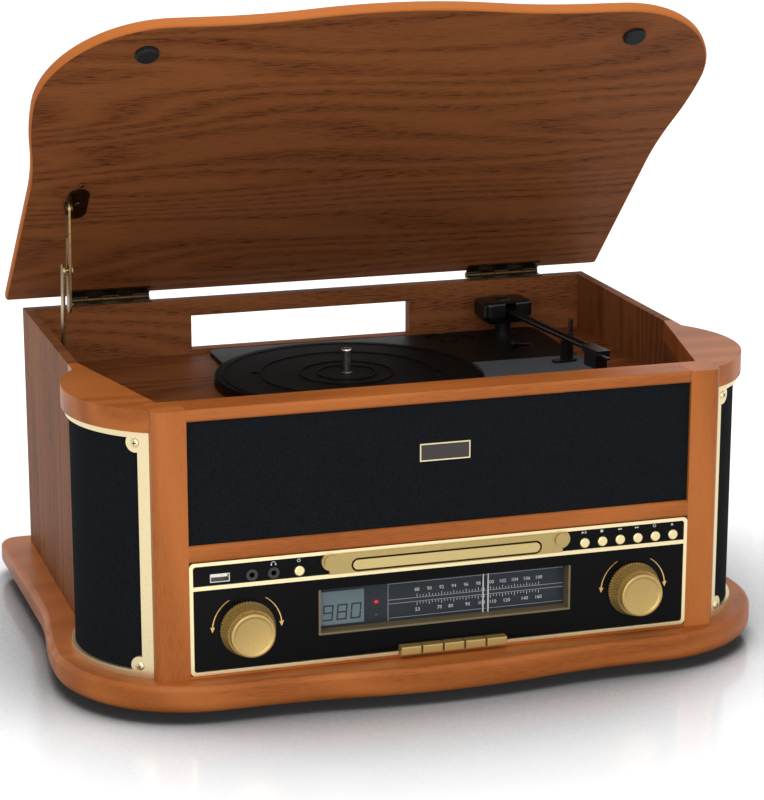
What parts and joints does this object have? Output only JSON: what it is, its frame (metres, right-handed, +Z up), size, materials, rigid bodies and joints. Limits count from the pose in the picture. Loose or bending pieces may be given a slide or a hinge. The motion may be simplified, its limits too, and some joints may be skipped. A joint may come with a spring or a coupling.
{
  "type": "record player",
  "caption": "Wooden record player cabinet with a wavy hinged lid, turntable and tonearm in an open well, curved corner speaker columns, and a front panel with disc drawer, dial, knobs and keys.",
  "frame": {"origin": "on the table under the middle of the plinth", "axes": "+X to the right, +Y to the back, +Z up; the front panel faces -Y"},
  "size_m": [0.504, 0.3679, 0.4533],
  "materials": {
    "stained_wood": "satin lacquer",
    "rubber": "matte",
    "speaker_cloth": "woven",
    "gold_trim": "satin",
    "black_gloss": "gloss",
    "black_matt": "matte",
    "grey_plastic": "satin",
    "dial": "satin",
    "lcd": "gloss",
    "steel": "satin",
    "circuit": "satin",
    "silver": "satin",
    "brass": "satin",
    "gold_knob": "metallised",
    "pointer_red": "gloss"
  },
  "bodies": {
    "cabinet": {"plinth": "stained_wood", "rubber_feet": "rubber", "side_walls": "stained_wood", "rear_wall": "stained_wood", "front_posts": "stained_wood", "front_rails": "stained_wood", "corner_blocks": "stained_wood", "cheek_boards": "stained_wood", "speakers": "black_matt", "deck_board": "stained_wood", "grille_cloth": "speaker_cloth", "column_grilles": "speaker_cloth", "column_frames": "gold_trim", "control_panel": "black_gloss", "panel_trim": "gold_trim", "disc_bezel": "gold_trim", "disc_loader": "black_matt", "dial_plate": "dial", "lcd_screen": "lcd", "input_sockets": "steel", "electronics": "circuit", "rear_panel": "black_matt", "deck_chassis": "black_gloss", "control_plate": "grey_plastic", "drive_motor": "black_matt", "spindle": "steel", "arm_supports": "black_matt", "hinge_box_leaves": "brass", "stay_box_bracket": "steel"},
    "lid_body": {"lid": "stained_wood", "lid_bumpers": "rubber", "hinge_lid_leaves": "brass", "stay_lid_bracket": "steel"},
    "upper_link": {"stay_upper_link": "steel"},
    "lower_link": {"stay_lower_link": "steel"},
    "turntable": {"platter": "silver", "platter_mat": "black_matt"},
    "pulley": {"motor_pulley": "steel"},
    "arm_pivot_head": {"arm_head": "black_matt"},
    "arm": {"tonearm": "silver", "cartridge": "black_matt"},
    "rest_clip": {"arm_clip": "black_matt"},
    "cue": {"cue_lever": "steel"},
    "speed_selector": {"speed_lever": "grey_plastic"},
    "volume": {"volume_knob": "gold_knob"},
    "tuning": {"tuning_knob": "gold_knob"},
    "pointer": {"dial_pointer": "pointer_red"},
    "drawer": {"disc_drawer": "black_gloss"},
    "play_button_body": {"play_button": "gold_knob"},
    "stop_button_body": {"stop_button": "gold_knob"},
    "next_button_body": {"next_button": "gold_knob"},
    "previous_button_body": {"previous_button": "gold_knob"},
    "repeat_button_body": {"repeat_button": "gold_knob"},
    "eject_button_body": {"eject_button": "gold_knob"},
    "record_button_body": {"record_button": "black_gloss"},
    "tuner_key_body": {"tuner_key": "gold_knob"},
    "disc_key_body": {"disc_key": "gold_knob"},
    "tape_key_body": {"tape_key": "gold_knob"},
    "phono_key_body": {"phono_key": "gold_knob"},
    "tone_key_body": {"tone_key": "gold_knob"}
  },
  "joints": [
    {"name": "lid_hinge", "type": "hinge", "parent": "cabinet", "child": "lid_body", "pos_m": [0, 0.1706, 0.2107], "axis": [1, 0, 0], "range_deg": [0, 43.3]},
    {"name": "upper_link_pivot", "type": "hinge", "parent": "lid_body", "child": "upper_link", "pos_m": [-0.206, 0.066, 0.301], "axis": [1, 0, 0], "range_deg": [-118.3, 0]},
    {"name": "lower_link_pivot", "type": "hinge", "parent": "cabinet", "child": "lower_link", "pos_m": [-0.2105, 0.079, 0.182], "axis": [1, 0, 0], "range_deg": [0, 73.1]},
    {"name": "platter_spin", "type": "hinge", "parent": "cabinet", "child": "turntable", "pos_m": [-0.0104, 0.036, 0.172], "axis": [0, 0, 1], "continuous": true},
    {"name": "pulley_spin", "type": "hinge", "parent": "cabinet", "child": "pulley", "pos_m": [-0.05526, 0.01508, 0.169], "axis": [0, 0, 1], "continuous": true},
    {"name": "tonearm_yaw", "type": "hinge", "parent": "cabinet", "child": "arm_pivot_head", "pos_m": [0.144, 0.13, 0.19], "axis": [0, 0, -1], "range_deg": [0, 48]},
    {"name": "tonearm_lift", "type": "hinge", "parent": "arm_pivot_head", "child": "arm", "pos_m": [0.144, 0.13, 0.1915], "axis": [-0.9933, -0.1158, 0], "range_deg": [0, 5]},
    {"name": "rest_clip_fold", "type": "hinge", "parent": "cabinet", "child": "rest_clip", "pos_m": [0.1605, 0.02823, 0.1955], "axis": [0.1158, -0.9933, 0], "range_deg": [0, 88]},
    {"name": "cue_lever_pivot", "type": "hinge", "parent": "cabinet", "child": "cue", "pos_m": [0.13782, 0.088, 0.1735], "axis": [-0.9933, -0.1158, 0], "range_deg": [0, 30]},
    {"name": "speed_slide", "type": "slide", "parent": "cabinet", "child": "speed_selector", "axis": [0, -1, 0], "range_m": [0, 0.01]},
    {"name": "volume_turn", "type": "hinge", "parent": "cabinet", "child": "volume", "pos_m": [-0.1364, -0.165, 0.0579], "axis": [0, 1, 0], "range_deg": [0, 300]},
    {"name": "tuning_turn", "type": "hinge", "parent": "cabinet", "child": "tuning", "pos_m": [0.1364, -0.165, 0.0579], "axis": [0, 1, 0], "range_deg": [-560, 510]},
    {"name": "pointer_slide", "type": "slide", "parent": "cabinet", "child": "pointer", "axis": [1, 0, 0], "range_m": [-0.0546, 0.0497]},
    {"name": "drawer_slide", "type": "slide", "parent": "cabinet", "child": "drawer", "axis": [0, -1, 0], "range_m": [0, 0.125]},
    {"name": "play_button_press", "type": "slide", "parent": "cabinet", "child": "play_button_body", "axis": [0, 1, 0], "range_m": [0, 0.0012], "stiffness_N_per_m": 200},
    {"name": "stop_button_press", "type": "slide", "parent": "cabinet", "child": "stop_button_body", "axis": [0, 1, 0], "range_m": [0, 0.0012], "stiffness_N_per_m": 200},
    {"name": "next_button_press", "type": "slide", "parent": "cabinet", "child": "next_button_body", "axis": [0, 1, 0], "range_m": [0, 0.0012], "stiffness_N_per_m": 200},
    {"name": "previous_button_press", "type": "slide", "parent": "cabinet", "child": "previous_button_body", "axis": [0, 1, 0], "range_m": [0, 0.0012], "stiffness_N_per_m": 200},
    {"name": "repeat_button_press", "type": "slide", "parent": "cabinet", "child": "repeat_button_body", "axis": [0, 1, 0], "range_m": [0, 0.0012], "stiffness_N_per_m": 200},
    {"name": "eject_button_press", "type": "slide", "parent": "cabinet", "child": "eject_button_body", "axis": [0, 1, 0], "range_m": [0, 0.0012], "stiffness_N_per_m": 200},
    {"name": "record_button_press", "type": "slide", "parent": "cabinet", "child": "record_button_body", "axis": [0, 1, 0], "range_m": [0, 0.0012], "stiffness_N_per_m": 200},
    {"name": "tuner_key_press", "type": "slide", "parent": "cabinet", "child": "tuner_key_body", "axis": [0, 1, 0], "range_m": [0, 0.0035], "stiffness_N_per_m": 200},
    {"name": "disc_key_press", "type": "slide", "parent": "cabinet", "child": "disc_key_body", "axis": [0, 1, 0], "range_m": [0, 0.0035], "stiffness_N_per_m": 200},
    {"name": "tape_key_press", "type": "slide", "parent": "cabinet", "child": "tape_key_body", "axis": [0, 1, 0], "range_m": [0, 0.0035], "stiffness_N_per_m": 200},
    {"name": "phono_key_press", "type": "slide", "parent": "cabinet", "child": "phono_key_body", "axis": [0, 1, 0], "range_m": [0, 0.0035], "stiffness_N_per_m": 200},
    {"name": "tone_key_press", "type": "slide", "parent": "cabinet", "child": "tone_key_body", "axis": [0, 1, 0], "range_m": [0, 0.0035], "stiffness_N_per_m": 200}
  ],
  "couplings": [
    {"joint": "upper_link_pivot", "follows": "lid_hinge", "ratio": -2.729},
    {"joint": "lower_link_pivot", "follows": "lid_hinge", "ratio": 1.686},
    {"joint": "pulley_spin", "follows": "platter_spin", "ratio": 11.6},
    {"joint": "pointer_slide", "follows": "tuning_turn", "m_per_rad": 0.00557}
  ]
}
